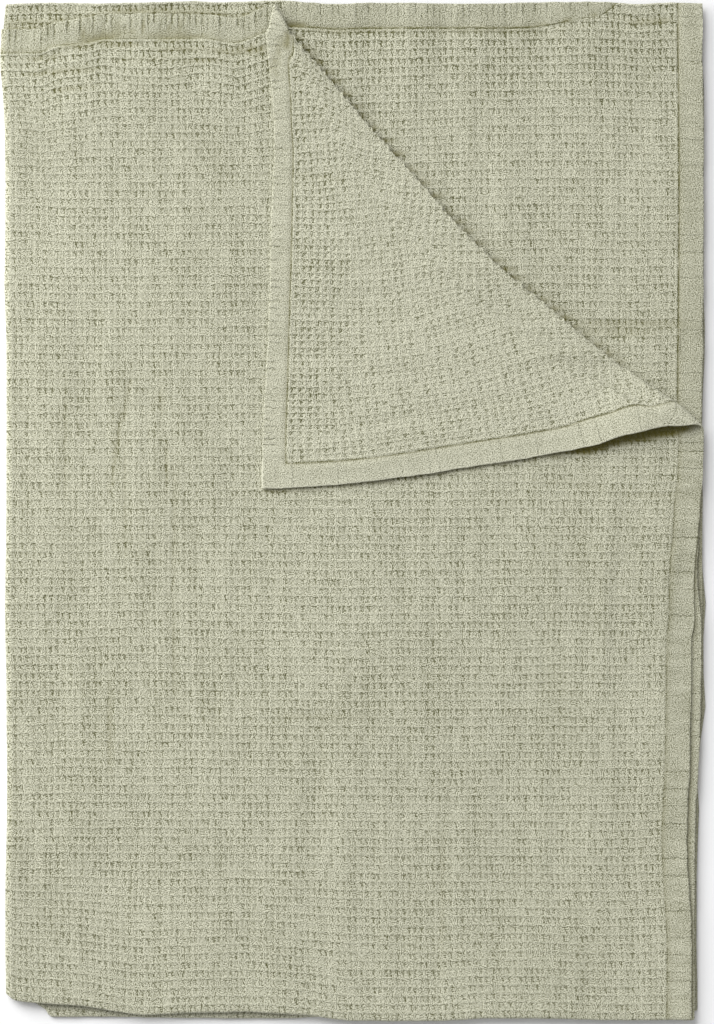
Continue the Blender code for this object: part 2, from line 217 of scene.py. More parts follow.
# Layers that show, and soft creases on them: a line in the folded pack from one place to another, with its
# width and height in mm, and how dark the shade painted in its trough is
PLAIN, TOP, SECOND, FLAP = range(4)
Crease = namedtuple("Crease", "layer across up to_across to_up width height dark")
CREASES = [Crease(*row) for row in (
    (TOP, 66, 792, 66, 663, 3.9, -0.5, 0.12),
    (TOP, 150, 817, 139, 760, 2.8, -0.7, 0.22),
    (TOP, 136, 756, 125, 676, 2.8, -0.7, 0.22),
    (TOP, 143, 740, 143, 599, 2.8, -0.4, 0.12),
    (TOP, 190, 811, 191, 772, 2.6, -0.6, 0.22),
    (TOP, 196, 734, 197, 682, 2.6, -0.6, 0.22),
    (TOP, 208, 695, 206, 547, 2.8, -0.5, 0.15),
    (TOP, 205, 522, 208, 406, 2.8, -0.5, 0.13),
    (TOP, 124, 419, 124, 316, 2.8, -0.7, 0.22),
    (TOP, 551, 245, 550, 63, 2.6, -0.4, 0.13),
    (TOP, 397, 367, 398, 245, 2.6, -0.4, 0.1),
    (TOP, 344, 385, 445, 383, 2.6, -0.3, 0.13),
    (TOP, 683, 686, 754, 681, 2.6, -0.4, 0.14),
    (TOP, 767, 673, 870, 666, 2.6, -0.4, 0.14),
    (TOP, 89, 1271, 91, 1255, 2.3, -0.9, 0.5),
    (TOP, 114, 1271, 115, 1257, 2.3, -0.7, 0.4),
    (TOP, 133, 1278, 134, 1264, 2.3, -0.8, 0.45),
    (TOP, 168, 1278, 166, 1264, 2.3, -0.7, 0.45),
    (TOP, 201, 1275, 202, 1264, 2.3, -0.7, 0.45),
    (TOP, 215, 1279, 214, 1265, 2.3, -0.8, 0.45),
    (TOP, 84, 1253, 140, 1262, 5.5, -1.0, 0.5),
    (TOP, 60, 1248, 96, 1246, 4.5, -0.6, 0.3),
    (TOP, 84, 1275, 262, 1278, 2.8, 1.2, 0),
    (TOP, 30, 1258, 82, 1272, 2.8, 0.9, 0),
    (TOP, 170, 1260, 222, 1262, 3.1, -0.8, 0.5),
    (TOP, 184, 1256, 254, 1260, 3.4, -0.8, 0.42),
    (TOP, 137, 1268, 157, 1265, 3.0, -0.7, 0.42),
    (TOP, 30, 1240, 78, 1249, 3.0, 0.9, 0),
    (TOP, 285, 1242, 331, 1244, 2.6, -0.8, 0.5),
    (TOP, 192, 1242, 332, 1238, 2.4, -0.7, 0.35),
    (TOP, 114, 1246, 157, 1247, 2.6, -0.8, 0.4),
    (TOP, 19, 1210, 106, 1217, 2.6, -0.8, 0.33),
    (TOP, 53, 1188, 111, 1198, 2.6, -0.6, 0.25),
    (TOP, 21, 1229, 60, 1233, 2.8, -0.7, 0.3),
    (TOP, 137, 1229, 272, 1228, 2.4, -0.5, 0.25),
    (SECOND, 125, 1290, 249, 1291, 2.8, -0.8, 0.65),
    (SECOND, -8, 1293, 330, 1297, 2.2, -0.4, 0.25),
    (SECOND, 44, 1280, 106, 1280, 3.1, -1.0, 0.5),
    (SECOND, -15, 1278, 40, 1278, 3.1, -0.6, 0.25),
    (SECOND, 718, 889, 862, 889, 3.3, -0.9, 0.32),
    (SECOND, 721, 878, 818, 877, 3.3, -0.9, 0.3),
    (SECOND, 344, 1274, 377, 1274, 3.9, -1.0, 0.65),
    (SECOND, 793, 1278, 845, 1280, 2.6, -0.7, 0.45),
    (SECOND, 381, 1267, 523, 1264, 2.8, -0.5, 0.22),
    (SECOND, 535, 1266, 677, 1267, 2.8, -0.5, 0.2),
    (FLAP, 348, 1257, 330, 1213, 3.1, -0.8, 0.35),
    (FLAP, 352, 1265, 352, 1242, 3.3, -1.0, 0.65),
    (FLAP, 341, 1229, 337, 1206, 2.6, -0.6, 0.25),
    (FLAP, 368, 1080, 420, 1076, 2.6, -0.5, 0.15),
)]

# Painted shade in the shelter under the flap's lower hem, going right: how far out from the hem the cloth is
# painted dark, and how dark, in hundredths. It opens to a tunnel near the long hem.
SHELTER_DEPTH = [(320, 5), (640, 5), (700, 6), (717, 7.5), (737, 10.5), (778, 13),
                 (840, 17), (871, 9), (884, 3)]
SHELTER_DARK = [(318, 0), (325, 35), (640, 30), (700, 55), (730, 95), (863, 95),
                (884, 30)]
# Where it begins and ends, and how far in under the flap it goes on
SHELTER_ENDS = (318 * MM, 884 * MM)
SHELTER_BACK = 40 * MM

# Painted light: how much lighter the cloth is painted on the bend, against the shade of its wall, and how
# far beside it
BEND_PAINTED_LIGHT = 0.3
BEND_PAINTED_LIGHT_WIDTH = 3.0 * MM

# How dark the painted shade on the second layer is beside the bend, going down it, in hundredths
BEND_SHADE = [(0, 10), (25, 20), (50, 85), (300, 70), (560, 75), (630, 80), (660, 35),
              (779, 8)]
# The soft band of painted shade beside the bend, and the painted dark wedge at each notch, in mm
BAND_WIDTH = 6.0
BAND_DARK = 0.10
WEDGE_HEIGHT = 2.6
WEDGE_FLARE = 1.6
WEDGE_FLARE_WIDTH = 5
WEDGE_WIDTH = 11

# The painted shade, a dark line, on the second layer along the free edges of the top one. It ends at the
# bend.
EDGE_LINE_WIDTH = 2.8 * MM
EDGE_LINE_DARK = 0.4
EDGE_LINE_ENDS = (320 * MM, 720 * MM)
# How dark the painted shade is on the lower pair where it peeks out on the right
LOWER_DARK = 0.22
LOWER_DARK_REACH = 24 * MM

# How far from the bend, a free edge or a fold the small cells go on
SEEN_PAST_BEND = 30 * MM
SEEN_FROM_TOP = 40 * MM
SEEN_FROM_RIGHT = 36 * MM
SEEN_SIDE_FOLD = 12 * MM
SEEN_BOTTOM_FOLD = 8 * MM
OUTLINE_POINTS = 80
LIP_POINTS = 60
# The mesh is cut along the bend. Points closer to a cut than this share of the half turn count as on it.
CUT_SNAP = 0.004
OFF_THE_BEND = -9.0
SHARP_ANGLE = math.radians(65)

# The numbers that the mesh keeps for each point's place in the flat, woven cloth
WOVEN = ("woven_across", "woven_up")

# What the cloth's points tell its material: the distance in from the edge for the hem, how much of the
# hem's sewing shows, the painted shade of the place (painted light where it is below 0), and whether it is
# on the turned corner
ATTRIBUTES = ("inset", "sewn", "shade", "turned")

# Finish
LIGHT_SAGE = (0.670, 0.664, 0.520, 1.0)
# The dark end of the cloth's colour, which the painted shade of the pits and marks reaches
PIT_OLIVE = (0.085, 0.085, 0.022, 1.0)
# The colour of painted shade: under the flap, beside the bend, along free edges, in creases and grooves
SHADE_OLIVE = (0.145, 0.126, 0.018, 1.0)
# The thread is painted darker than the cloth, for the shade of the groove it lies in
THREAD_SAGE = (0.36, 0.35, 0.23, 1.0)
FLOOR_WHITE = (0.895, 0.895, 0.90, 1.0)

# Marks of a waffle cell, painted shade in its pit and a painted shadow under its bar, as shares of the cell:
# how far from a mark's middle it starts and where it is full. The shadow line under the cell's bar lies at
# BAR_PLACE.
DASH_WIDE = (0.20, 0.06)
DASH_LONG = (0.40, 0.24)
BAR_PLACE = 0.79
BAR_DEEP = (0.17, 0.04)
BAR_WIDE = (0.52, 0.25)
SEAM_WIDE = (0.12, 0.02)
# The marks are stronger near the ends of the cloth
END_MARKS = (HALF_LENGTH - 150 * MM, HALF_LENGTH - 50 * MM)

# Light. The main one falls from the upper left, and a soft one comes from lower down on the left.
KEY_FALLS = (0.78, -1.08, -1.0)
KEY_ENERGY = 2.72
KEY_ANGLE = math.radians(48)
SIDE_LIGHT_PLACE = (-2.3, 1.0, 1.0)
SIDE_LIGHT_ENERGY = 43
SIDE_LIGHT_SIZE = 2.0
ROOM_LIGHT = 0.45
FLOOR_SIZE = 12
FLOOR_DROP = 0.2 * MM

# The photograph's frame: the ground that it covers, and the place of its middle in the folded pack
FRAME_HEIGHT = 1316.6 * MM
FRAME_MIDDLE = (441.6 * MM, 647.7 * MM)
LENS = 240
SENSOR = 36


def along(rows, place):
    """Values of a table at places, on a smooth line through its rows. Metres in and out."""
    at, by = np.array(rows, float).T
    rise = np.diff(by) / np.diff(at)
    turning = rise[:-1] * rise[1:] <= 0
    both = np.where(turning, 1.0, rise[:-1] + rise[1:])
    slope = np.zeros(len(rows))
    slope[1:-1] = np.where(turning, 0.0, 2 * rise[:-1] * rise[1:] / both)
    place = np.asarray(place, float) / MM
    i = np.clip(np.searchsorted(at, place, side="right") - 1, 0, len(rows) - 2)
    span = at[i + 1] - at[i]
    f = np.clip((place - at[i]) / span, 0, 1)
    start = by[i] * (2 * f ** 3 - 3 * f ** 2 + 1) + slope[i] * span * f * (1 - f) ** 2
    end = by[i + 1] * (3 * f ** 2 - 2 * f ** 3) - slope[i + 1] * span * f * f * (1 - f)
    return (start + end) * MM


def ease(value):
    value = np.clip(value, 0.0, 1.0)
    return value * value * (3 - 2 * value)


def mix(a, b, share):
    return a + (b - a) * share


def chance_at(i, j, seed):
    """A number from 0 to 1 for each pair of whole numbers, always the same."""
    return np.mod(np.abs(np.sin(i * 12.9898 + j * 78.233 + seed * 37.719)) * 43758.5453, 1.0)


def wanders(rows, across, up):
    """Smooth noise: the sum of the tables' bumps and hollows, in metres."""
    total = np.zeros_like(across)
    for r in rows:
        x, y = across / (r.across * MM) + 0.37 * r.seed, up / (r.up * MM) + 0.61 * r.seed
        i, j = np.floor(x), np.floor(y)
        low = mix(chance_at(i, j, r.seed), chance_at(i + 1, j, r.seed), ease(x - i))
        high = mix(chance_at(i, j + 1, r.seed), chance_at(i + 1, j + 1, r.seed), ease(x - i))
        total += (mix(low, high, ease(y - j)) * 2 - 1) * r.height * MM
    return total


CREASE_LENGTH = math.dist(CREASE_TOP, CREASE_RIGHT)
DOWN = ((CREASE_RIGHT[0] - CREASE_TOP[0]) / CREASE_LENGTH,
        (CREASE_RIGHT[1] - CREASE_TOP[1]) / CREASE_LENGTH)
OUT = (-DOWN[1], DOWN[0])


def to_crease(x, y):
    """Distance down the crease's straight line, and out from it towards the turned corner."""
    dx, dy = x - CREASE_TOP[0], y - CREASE_TOP[1]
    return dx * DOWN[0] + dy * DOWN[1], dx * OUT[0] + dy * OUT[1]


def from_crease(down, out):
    return (CREASE_TOP[0] + down * DOWN[0] + out * OUT[0], CREASE_TOP[1] + down * DOWN[1] + out * OUT[1])


def notches(down):
    """Notches of the bend's outline: 1 in the middle of one, 0 between them."""
    total = np.zeros_like(down)
    for place in NOTCHES:
        total = np.maximum(total, np.exp(-((down - place * MM) / NOTCH_WIDTH) ** 2))
    return total


def roll_start(down):
    """Where the top layer begins to rise into the bend, out from the crease's straight line."""
    outline = along(CREASE_BOW, down) - NOTCH_DEPTH * notches(down)
    return outline - along(ROLL_RADIUS, down) - CLOTH_THICKNESS / 2


def edge_shift(x, y, upper, share):
    """Movement in the plane from the uneven edges. share is 1 on the outer layer of a pair."""
    def of_layer(table, place):
        upper_pair = mix(along(table[2], place), along(table[1], place), share)
        lower_pair = mix(along(table[3], place), along(table[4], place), share)
        return np.where(upper, upper_pair, lower_pair)

    rise = np.where(upper, along(BOTTOM_RISE["upper"], x), along(BOTTOM_RISE["lower"], x))
    move_y = rise * ease(1 - y / END_REACH)
    move_y = move_y + of_layer(TOP_SHIFT, x) * ease((y - FREE_EDGE + END_REACH) / END_REACH)
    move_x = along(SIDE_FOLD_BULGE, y + move_y) * ease(1 - x / SIDE_REACH)
    move_x = move_x + of_layer(RIGHT_SHIFT, y + move_y) * ease((x - RIGHT_EDGE + RIGHT_REACH) / RIGHT_REACH)
    return move_x, move_y


def turn_share(x, y):
    """0 where the top layer starts to rise into the bend, 1 where it has turned over."""
    down, out = to_crease(x, y)
    return (out - roll_start(down)) / (math.pi * along(ROLL_RADIUS, down))


def turn_back(x, y, z, skin, top_layer):
    """Fold the top layer's corner over. skin is the distance from the cloth's middle to this face."""
    down, out = to_crease(x, y)
    start = roll_start(down)
    past = out - start
    radius = along(ROLL_RADIUS, down)
    half_turn = math.pi * radius
    near = 2 * start + half_turn
    plain_near = near + 2 * NOTCH_DEPTH * notches(down)
    lean = (along(FLAP_ACROSS, down) - plain_near) * ease(past / (half_turn + along(FLAP_EASE, down)))
    lean = lean + (plain_near - near) * ease(past / half_turn - 0.5)
    rolling = past < half_turn
    turn = past / radius
    bent_out = np.where(rolling, start + (radius - skin) * np.sin(turn), near - out) + lean
    height = np.where(rolling, radius - (radius - skin) * np.cos(turn), 2 * radius - skin)
    bent_x, bent_y = from_crease(down + along(FLAP_ALONG, out), bent_out)
    bent = top_layer & (down >= 0) & (past > 0)
    return np.where(bent, bent_x, x), np.where(bent, bent_y, y), np.where(bent, TOP_LAYER + height, z)


def unevenness(x, y):
    total = np.zeros_like(x)
    for m in MOUNDS:
        far = ((x / MM - m.across) / m.half_width) ** 2 + ((y / MM - m.up) / m.half_length) ** 2
        total += m.height * MM * np.exp(-far)
    return total


def creasing(x, y, layer):
    """Height that the soft creases add, and how dark the shade painted in their troughs is. layer names each
    point's layer.
    """
    height, dark = np.zeros_like(x), np.zeros_like(x)
    for c in CREASES:
        ax, ay = x / MM - c.across, y / MM - c.up
        bx, by = c.to_across - c.across, c.to_up - c.up
        length = math.hypot(bx, by)
        share = (ax * bx + ay * by) / length ** 2
        beside = (ax * by - ay * bx) / length
        body = ease((share + 0.25) / 0.5) * ease((1.25 - share) / 0.5)
        trough = body * np.exp(-(beside / c.width) ** 2) * (layer == c.layer)
        height += c.height * MM * trough
        dark = np.maximum(dark, c.dark * trough)
    return height, dark


def shelter_shade(places):
    """Painted shade on the top layer under the flap's lower hem and close to it: how dark it is."""
    up = np.linspace(HALF_LENGTH, BOTTOM_ARC + CREASE_RIGHT[1], LIP_POINTS)
    lip = fold(np.full(LIP_POINTS, HALF_WIDTH), up, np.zeros(LIP_POINTS))[0]
    gap = np.interp(places[:, 0], lip[:, 0], lip[:, 1]) - places[:, 1]
    amount = along(SHELTER_DARK, places[:, 0]) / MM / 100
    amount = amount * ease(2.2 - 2.2 * gap / along(SHELTER_DEPTH, places[:, 0])) * (gap > -SHELTER_BACK)
    between = (places[:, 0] > SHELTER_ENDS[0]) & (places[:, 0] < SHELTER_ENDS[1])
    return amount * (places[:, 2] > MID_HEIGHT) * between


def edge_shade(x, y, layer):
    """Painted shade: how dark the cloth is close to the free edges of the layers above it."""
    beyond = np.minimum(np.abs(x - RIGHT_EDGE - along(RIGHT_SHIFT[1], y)) + (y > EDGE_LINE_ENDS[1]),
                        np.abs(y - FREE_EDGE - along(TOP_SHIFT[1], x)) + (x > EDGE_LINE_ENDS[0]))
    line = EDGE_LINE_DARK * np.exp(-(beyond / EDGE_LINE_WIDTH) ** 2) * (layer == SECOND)
    on_right = ease((x - RIGHT_EDGE + LOWER_DARK_REACH) / (LOWER_DARK_REACH / 2))
    return np.maximum(line, LOWER_DARK * on_right * (layer == PLAIN))


def bend_shade(x, y, layer):
    """Painted shade on the second layer in the shelter of the bend: a soft band, and a wedge at each notch.
    """
    down, out = to_crease(x, y)
    beside = (out - along(CREASE_BOW, down) + 1.0 * MM) / MM
    amount = BAND_DARK * np.exp(-(beside / BAND_WIDTH) ** 2) * (down > -20 * MM)
    for k, place in enumerate(NOTCHES):
        centre = from_crease(place * MM, along(CREASE_BOW, place * MM) - 2 * MM)
        right, above = (x - centre[0]) / MM, (y - centre[1]) / MM
        half_height = WEDGE_HEIGHT + WEDGE_FLARE * np.exp(-np.abs(right) / WEDGE_FLARE_WIDTH)
        wedge = np.exp(-(above / half_height) ** 2) * np.exp(-(right / WEDGE_WIDTH) ** 2)
        amount = np.maximum(amount, wedge * mix(0.8, 1.2, chance_at(k, 0, 3)))
    return amount * along(BEND_SHADE, down) / MM / 100 * (layer == SECOND)


def bend_painted_light(x, y, share, top_layer, second):
    """Painted light: how much lighter the cloth is painted on the bend and close beside it, between the
    notches.
    """
    down, out = to_crease(x, y)
    on_bend = np.exp(-((share - 0.5) / 0.35) ** 2) * top_layer
    close_by = np.exp(-((out - along(CREASE_BOW, down)) / BEND_PAINTED_LIGHT_WIDTH) ** 2) * (1 - notches(down))
    return BEND_PAINTED_LIGHT * np.maximum(on_bend, close_by * second * (down > 0))


def fold(across, up, skin):
    """Places of points of the flat cloth in the folded pack, and how dark each one is painted: its painted
    shade less its painted light.
    """
    over_bottom = np.abs(up) <= BOTTOM_ARC
    y = np.where(over_bottom, -(BOTTOM_FOLD + skin) * np.cos(up / BOTTOM_FOLD), np.abs(up) - BOTTOM_ARC)
    level = np.where(over_bottom, (BOTTOM_FOLD + skin) * np.sin(up / BOTTOM_FOLD),
                     np.copysign(BOTTOM_FOLD + skin, up))
    over_side = np.abs(across) <= SIDE_ARC
    x = np.where(over_side, -(SIDE_FOLD + level) * np.cos(across / SIDE_FOLD), np.abs(across) - SIDE_ARC)
    z = MID_HEIGHT + np.where(over_side, (SIDE_FOLD + level) * np.sin(across / SIDE_FOLD),
                              np.copysign(SIDE_FOLD + level, across))
    share = np.where(over_bottom, 0.5 + 0.5 * np.sin(up / BOTTOM_FOLD), up > 0)
    move_x, move_y = edge_shift(x, y, across > 0, share)
    x, y = x + move_x, y + move_y
    top_layer = (across > SIDE_ARC) & (up > BOTTOM_ARC)
    share = turn_share(x, y)
    turned = top_layer & (share > 0.5)
    second = (across > SIDE_ARC) & (up < -BOTTOM_ARC)
    # Painted light on the bend, taken off the painted shade below
    painted_light = bend_painted_light(x, y, share, top_layer, second)
    x, y, z = turn_back(x, y, z, skin, top_layer)
    layer = np.where(turned, FLAP, np.where(top_layer, TOP, np.where(second, SECOND, PLAIN)))
    height, dark = creasing(x, y, layer)
    z = np.maximum(z + unevenness(x, y) * np.clip(z / PACK_HEIGHT, 0, 1) + height, 0)
    dark = np.maximum(np.maximum(dark, bend_shade(x, y, layer)), edge_shade(x, y, layer))
    return np.stack([x, y, z], axis=1), dark - painted_light


def inset_of(across, up):
    return np.minimum(HALF_WIDTH - np.abs(across), HALF_LENGTH - np.abs(up))


def weave_place(across, up):
    """Flat places of points of the weave, which isn't woven and washed dead straight."""
    free = ease(inset_of(across, up) / WANDER_FADE - 0.5)
    free = free * ease(np.abs(across) / WANDER_FADE - 0.3) * ease(np.abs(up) / WANDER_FADE - 0.3)
    turned = ease((turn_share(across - SIDE_ARC, up - BOTTOM_ARC) - 1) / 6) * ((across > 0) & (up > 0))
    free = free * mix(1.0, FLAP_WANDER, turned)
    move_x = wanders(COLUMN_WANDER, across, up)
    move_y = wanders(ROW_WANDER, across, up)
    for p in PULLS:
        far = ((across / MM - p.across) / p.half_width) ** 2 + ((up / MM - p.up) / p.half_length) ** 2
        share = np.exp(-far) * ((across > 0) & (up > 0))
        move_x = move_x + p.by_across * MM * share
        move_y = move_y + p.by_up * MM * share
    at_side = ease(1 - (HALF_WIDTH - np.abs(across)) / HEM_WIDTH) * ease(np.abs(up) / HEM_WIDTH - 0.5)
    at_end = ease(1 - (HALF_LENGTH - np.abs(up)) / HEM_WIDTH) * ease(np.abs(across) / HEM_WIDTH - 0.5)
    move_x = move_x * free + wanders(HEM_WAVES, up, across) * at_side
    move_y = move_y * free + wanders(HEM_WAVES, across, up) * at_end
    return across + move_x, up + move_y


def cell_chance(across, up):
    return chance_at(np.floor(across / CELL_ACROSS), np.floor(up / CELL_ALONG), 0)


def waffle(across, up):
    """Depth of the waffle's pits: 0 on the bars, 1 in a pit's middle."""
    from_post = np.abs(np.mod(across / CELL_ACROSS, 1.0) - 0.5) * 2
    from_bar = np.abs(np.mod(up / CELL_ALONG, 1.0) - 0.5) * 2
    return np.clip((1 - from_bar) * 1.5, 0, 1) * mix(1.0, POST_DEPTH, from_post)


def hem_inset(across, up, reverse):
    """Distance in from the edge, for the hem. A hem that is rolled to the far side counts as further in."""
    ends = HALF_LENGTH - np.abs(up)
    if reverse:
        rolled = along(SECOND_HEM_ROLLED, np.abs(across) - SIDE_ARC)
        ends = ends + rolled * ((across > 0) & (up < 0))
    return np.minimum(HALF_WIDTH - np.abs(across), ends)


def hem_share(inset):
    return np.clip((HEM_WIDTH + HEM_STEP - inset) / HEM_STEP, 0, 1)


def skin_of(across, up, reverse):
    """Distance of one face of the cloth from its middle, with the waffle, the hem and its puckers."""
    inset = hem_inset(across, up, reverse)
    hem = hem_share(inset)
    deep = WAFFLE_DEPTH * waffle(across, up) * mix(0.5, 1.0, cell_chance(across, up)) * (1 - hem)
    groove = np.exp(-((inset - STITCH_LINE) / GROOVE_WIDTH) ** 2) * (GROOVE_BACK if reverse else GROOVE_FACE)
    side_hem = HALF_WIDTH - np.abs(across) < HALF_LENGTH - np.abs(up)
    along_hem, in_from_hem = np.where(side_hem, up, across), np.where(side_hem, across, up)
    puckers = wanders(HEM_PUCKERS, along_hem, in_from_hem) * hem * ease(inset / HEM_WIDTH + 0.3)
    waves = np.clip(wanders(SURFACE_WAVES, across, up), -WAVE_LIMIT, WAVE_LIMIT)
    out = CLOTH_THICKNESS / 2 - deep - groove - HEM_SUNK * hem + puckers + (-waves if reverse else waves)
    if reverse:
        out = out + HEM_EXTRA * hem
    edge = np.clip(inset_of(across, up) / ROUND_EDGE, 0, 1)
    out = out * mix(0.4, 1.0, np.sqrt(1 - (1 - edge) ** 2))
    return -out if reverse else out


def lines_one_way(half, arc, arc_steps, cells, lines):
    """Mesh lines across the cloth, and the indexes of those that end a block."""
    inner = half - HEM_WIDTH - HEM_STEP
    places = [(arc * k / arc_steps, True) for k in range(arc_steps + 1)]
    for k in range(1, cells * lines + 1):
        place = inner * k / (cells * lines)
        if place > arc + 0.5 * MM:
            ends = k % (BLOCK_CELLS * lines) == 0 or k == cells * lines
            places.append((place, ends))
    places += [(half - inset * MM, inset in HEM_BLOCKS) for inset in HEM_LINES]
    both = [(-place, ends) for place, ends in reversed(places[1:])] + places
    return np.array([place for place, ends in both]), [i for i, (place, ends) in enumerate(both) if ends]


ACROSS_LINES, ACROSS_BLOCKS = lines_one_way(HALF_WIDTH, SIDE_ARC, SIDE_ARC_STEPS, CELLS_ACROSS, LINES_ACROSS)
UP_LINES, UP_BLOCKS = lines_one_way(HALF_LENGTH, BOTTOM_ARC, BOTTOM_ARC_STEPS, CELLS_ALONG, LINES_ALONG)


def flap_outline():
    """Outline of the turned corner in the folded pack, as a loop of places."""
    steps = np.linspace(0, 1, OUTLINE_POINTS)
    top_across = mix(SIDE_ARC + CREASE_TOP[0] + 14 * MM, HALF_WIDTH, steps)
    right_up = mix(HALF_LENGTH, BOTTOM_ARC + CREASE_RIGHT[1] + 20 * MM, steps)
    across = np.concatenate([top_across, np.full(OUTLINE_POINTS, HALF_WIDTH)])
    up = np.concatenate([np.full(OUTLINE_POINTS, HALF_LENGTH), right_up])
    places = fold(across, up, np.zeros(2 * OUTLINE_POINTS))[0]
    back_up = CREASE_LENGTH * steps[::-1]
    bend_x, bend_y = from_crease(back_up, along(CREASE_BOW, back_up))
    return np.concatenate([places[:, 0], bend_x]), np.concatenate([places[:, 1], bend_y])


def inside(outline, x, y):
    """Which places lie inside a loop, by counting the crossings to their right."""
    loop_x, loop_y = outline
    within = np.zeros(x.shape, bool)
    for ax, ay, bx, by in zip(loop_x, loop_y, np.roll(loop_x, -1), np.roll(loop_y, -1)):
        crossing = (ay > y) != (by > y)
        if by != ay:
            within ^= crossing & (x < ax + (y - ay) * (bx - ax) / (by - ay))
    return within


def seen_blocks(reverse):
    """Which blocks of cells of one face of the cloth can be seen, by row and column of blocks."""
    across = ACROSS_LINES[ACROSS_BLOCKS]
    up = UP_LINES[UP_BLOCKS]
    corner_across, corner_up = np.meshgrid(across, up, indexing="ij")
    x, y = np.abs(corner_across) - SIDE_ARC, np.abs(corner_up) - BOTTOM_ARC
    move_x, move_y = edge_shift(x, y, True, 1.0)
    turned = turn_share(x + move_x, y + move_y)
    upper, outer = corner_across > 0, corner_up > 0
    if reverse:
        flap = upper & outer & (turned > -1)
        down, out = to_crease(x, y)
        beyond = out - along(CREASE_BOW, down) > -SEEN_PAST_BEND
        edges = (y > FREE_EDGE - SEEN_FROM_TOP) | (x > RIGHT_EDGE - SEEN_FROM_RIGHT)
        seen = flap | (upper & ~outer & (beyond | edges))
    else:
        under = inside(flap_outline(), x, y)
        top = upper & outer & (turned < 1.5) & ~under
        side = (np.abs(corner_across) < SEEN_SIDE_FOLD) & outer
        bottom = np.abs(corner_up) < SEEN_BOTTOM_FOLD
        seen = top | side | bottom
    return seen[:-1, :-1] | seen[1:, :-1] | seen[:-1, 1:] | seen[1:, 1:]


def needed_points(seen):
    """Which crossings of the mesh lines one face of the cloth has."""
    needed = np.zeros((len(ACROSS_LINES), len(UP_LINES)), bool)
    needed[np.ix_(ACROSS_BLOCKS, UP_BLOCKS)] = True
    for a, b in zip(*np.nonzero(seen)):
        needed[ACROSS_BLOCKS[a]:ACROSS_BLOCKS[a + 1] + 1, UP_BLOCKS[b]:UP_BLOCKS[b + 1] + 1] = True
    return needed


def block_rim(i, i_end, j, j_end):
    """Crossings round a block, anticlockwise."""
    rim = [(k, j) for k in range(i, i_end)] + [(i_end, k) for k in range(j, j_end)]
    return rim + [(k, j_end) for k in range(i_end, i, -1)] + [(i, k) for k in range(j_end, j, -1)]


def flat_sheet(seen, needed):
    """One face of the cloth, flat: small cells where it is seen, and large ones elsewhere."""
    sheet = bmesh.new()
    layers = [sheet.verts.layers.float.new(name) for name in WOVEN]

    def point(across, up):
        vert = sheet.verts.new((across, up, 0))
        vert[layers[0]], vert[layers[1]] = across, up
        return vert

    at = {(i, j): point(ACROSS_LINES[i], UP_LINES[j]) for i, j in zip(*np.nonzero(needed))}
    for a in range(len(ACROSS_BLOCKS) - 1):
        i, i_end = ACROSS_BLOCKS[a], ACROSS_BLOCKS[a + 1]
        for b in range(len(UP_BLOCKS) - 1):
            j, j_end = UP_BLOCKS[b], UP_BLOCKS[b + 1]
            if seen[a, b]:
                for m in range(i, i_end):
                    for n in range(j, j_end):
                        sheet.faces.new([at[m, n], at[m + 1, n], at[m + 1, n + 1], at[m, n + 1]])
                continue
            rim = [at[spot] for spot in block_rim(i, i_end, j, j_end) if needed[spot]]
            if len(rim) == 4:
                sheet.faces.new(rim)
                continue
            middle = point((ACROSS_LINES[i] + ACROSS_LINES[i_end]) / 2, (UP_LINES[j] + UP_LINES[j_end]) / 2)
            for here, following in zip(rim, rim[1:] + rim[:1]):
                sheet.faces.new([here, following, middle])
    return sheet


def flat_places(sheet):
    layers = [sheet.verts.layers.float[name] for name in WOVEN]
    woven = np.array([[vert[layer] for layer in layers] for vert in sheet.verts])
    return woven, weave_place(woven[:, 0], woven[:, 1])


def cut_at_turn(sheet, level):
    """Cut the cells of the top layer along a line of the bend, by its share of the half turn."""
    sheet.verts.ensure_lookup_table()
    sheet.verts.index_update()
    layers = [sheet.verts.layers.float[name] for name in WOVEN]
    across, up = flat_places(sheet)[1]
    x, y = across - SIDE_ARC, up - BOTTOM_ARC
    move_x, move_y = edge_shift(x, y, True, 1.0)
    past = np.where((x > 0) & (y > 0), turn_share(x + move_x, y + move_y) - level, OFF_THE_BEND)
    past[np.abs(past) < CUT_SNAP] = 0.0
    on_line = {vert for vert in sheet.verts if past[vert.index] == 0}
    crossed = [edge for edge in sheet.edges if past[edge.verts[0].index] * past[edge.verts[1].index] < 0]
    for edge in crossed:
        a, b = edge.verts
        share = past[a.index] / (past[a.index] - past[b.index])
        place = [mix(a[layer], b[layer], share) for layer in layers]
        vert = bmesh.utils.edge_split(edge, a, share)[1]
        vert[layers[0]], vert[layers[1]] = place
        on_line.add(vert)
    for face in {face for vert in on_line for face in vert.link_faces}:
        ends = [vert for vert in face.verts if vert in on_line]
        if len(ends) == 2 and not any(ends[1] in edge.verts for edge in ends[0].link_edges):
            bmesh.utils.face_split(face, *ends)


def stitched_shade(woven, reverse):
    """Painted shade: how dark the sewn groove of the hem is at each point."""
    inset = hem_inset(woven[:, 0], woven[:, 1], reverse)
    width, dark = (1.2 * MM, 0.35) if reverse else (2.2 * MM, 0.2)
    return np.exp(-((inset - STITCH_LINE) / width) ** 2) * dark


